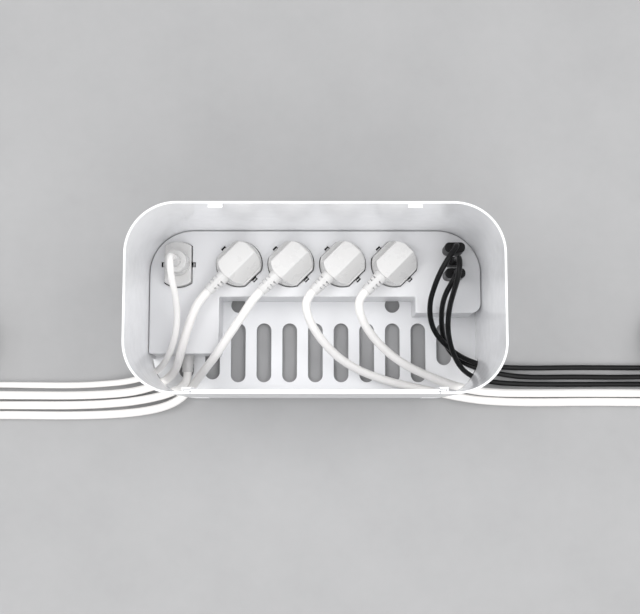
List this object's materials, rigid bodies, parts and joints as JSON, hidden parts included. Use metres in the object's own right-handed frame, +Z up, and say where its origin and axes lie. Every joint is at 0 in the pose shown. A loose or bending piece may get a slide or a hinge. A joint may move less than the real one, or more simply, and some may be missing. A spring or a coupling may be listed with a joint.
{
  "type": "cable management box",
  "caption": "Open-topped desk box for cables with a slide-up front panel, grille floor, built-in socket and charging module, and plugs whose cords leave at the front corners.",
  "frame": {"origin": "on the standing surface, under the middle of the box", "axes": "+X along the box to the right seen from the front, +Y to the back with the sockets, +Z up; the slide-up panel is at -Y"},
  "size_m": [1.1221, 0.1628, 0.158],
  "materials": {
    "box_white": "gloss, cool white",
    "module_white": "satin gloss, white",
    "socket_dark": "matt, black",
    "plug_white": "gloss, warm white",
    "cord_white": "soft satin, warm white",
    "connector_white": "satin, warm white",
    "charger_black": "satin, black",
    "cord_black": "semi-gloss, black",
    "foot_grey": "matt",
    "contact_brass": "bare",
    "contact_steel": "bare",
    "pin_nickel": "nickel plated",
    "screw_steel": "zinc plated",
    "board_green": "lacquered board"
  },
  "bodies": {
    "box": {"box_body": "box_white", "module_cover": "module_white", "module_base": "module_white", "socket_well_corner": "socket_dark", "socket_well_1": "socket_dark", "socket_well_2": "socket_dark", "socket_well_3": "socket_dark", "socket_well_4": "socket_dark", "lead_gland": "plug_white", "corner_plug_cord": "cord_white", "plug_1_cord": "cord_white", "mains_lead": "cord_white", "plug_2_cord": "cord_white", "plug_3_cord": "cord_white", "plug_4_cord": "cord_white", "corner_plug_cord_coil": "cord_white", "plug_1_cord_coil": "cord_white", "mains_lead_coil": "cord_white", "plug_2_cord_coil": "cord_white", "plug_3_cord_coil": "cord_white", "plug_4_cord_coil": "cord_white", "corner_plug_cord_connector": "connector_white", "plug_1_cord_connector": "connector_white", "mains_lead_plug": "connector_white", "plug_2_cord_connector": "connector_white", "plug_3_cord_connector": "connector_white", "plug_4_cord_connector": "connector_white", "usb_cord_back_connector": "charger_black", "usb_cord_front_connector": "charger_black", "usb_cord_middle_connector": "charger_black", "usb_cord_back": "cord_black", "usb_cord_front": "cord_black", "usb_cord_middle": "cord_black", "usb_cord_back_coil": "cord_black", "usb_cord_front_coil": "cord_black", "usb_cord_middle_coil": "cord_black", "rubber_feet": "foot_grey", "line_bar": "contact_brass", "neutral_bar": "contact_brass", "earth_bar": "contact_steel", "usb_ports": "contact_steel", "module_screws": "screw_steel", "usb_board": "board_green"},
    "front_panel": {"front_panel": "box_white"},
    "corner_plug": {"corner_plug": "plug_white", "corner_plug_pins": "pin_nickel"},
    "plug_1": {"plug_1": "plug_white", "plug_1_pins": "pin_nickel"},
    "plug_2": {"plug_2": "plug_white", "plug_2_pins": "pin_nickel"},
    "plug_3": {"plug_3": "plug_white", "plug_3_pins": "pin_nickel"},
    "plug_4": {"plug_4": "plug_white", "plug_4_pins": "pin_nickel"},
    "usb_plug_back": {"usb_plug_back": "charger_black"},
    "usb_plug_middle": {"usb_plug_middle": "charger_black"},
    "usb_plug_front": {"usb_plug_front": "charger_black"}
  },
  "joints": [
    {"name": "front_panel_slide", "type": "slide", "parent": "box", "child": "front_panel", "axis": [0, 0, 1], "range_m": [0, 0.155]},
    {"name": "corner_plug_pull_out", "type": "slide", "parent": "box", "child": "corner_plug", "axis": [0, 0, 1], "range_m": [0, 0.038], "deforming": ["corner_plug_cord"]},
    {"name": "plug_1_pull_out", "type": "slide", "parent": "box", "child": "plug_1", "axis": [0, 0, 1], "range_m": [0, 0.038], "deforming": ["plug_1_cord"]},
    {"name": "plug_2_pull_out", "type": "slide", "parent": "box", "child": "plug_2", "axis": [0, 0, 1], "range_m": [0, 0.038], "deforming": ["plug_2_cord"]},
    {"name": "plug_3_pull_out", "type": "slide", "parent": "box", "child": "plug_3", "axis": [0, 0, 1], "range_m": [0, 0.038], "deforming": ["plug_3_cord"]},
    {"name": "plug_4_pull_out", "type": "slide", "parent": "box", "child": "plug_4", "axis": [0, 0, 1], "range_m": [0, 0.038], "deforming": ["plug_4_cord"]},
    {"name": "usb_plug_back_pull_out", "type": "slide", "parent": "box", "child": "usb_plug_back", "axis": [0, 0, 1], "range_m": [0, 0.0125], "deforming": ["usb_cord_back"]},
    {"name": "usb_plug_middle_pull_out", "type": "slide", "parent": "box", "child": "usb_plug_middle", "axis": [0, 0, 1], "range_m": [0, 0.0125], "deforming": ["usb_cord_middle"]},
    {"name": "usb_plug_front_pull_out", "type": "slide", "parent": "box", "child": "usb_plug_front", "axis": [0, 0, 1], "range_m": [0, 0.0125], "deforming": ["usb_cord_front"]}
  ]
}
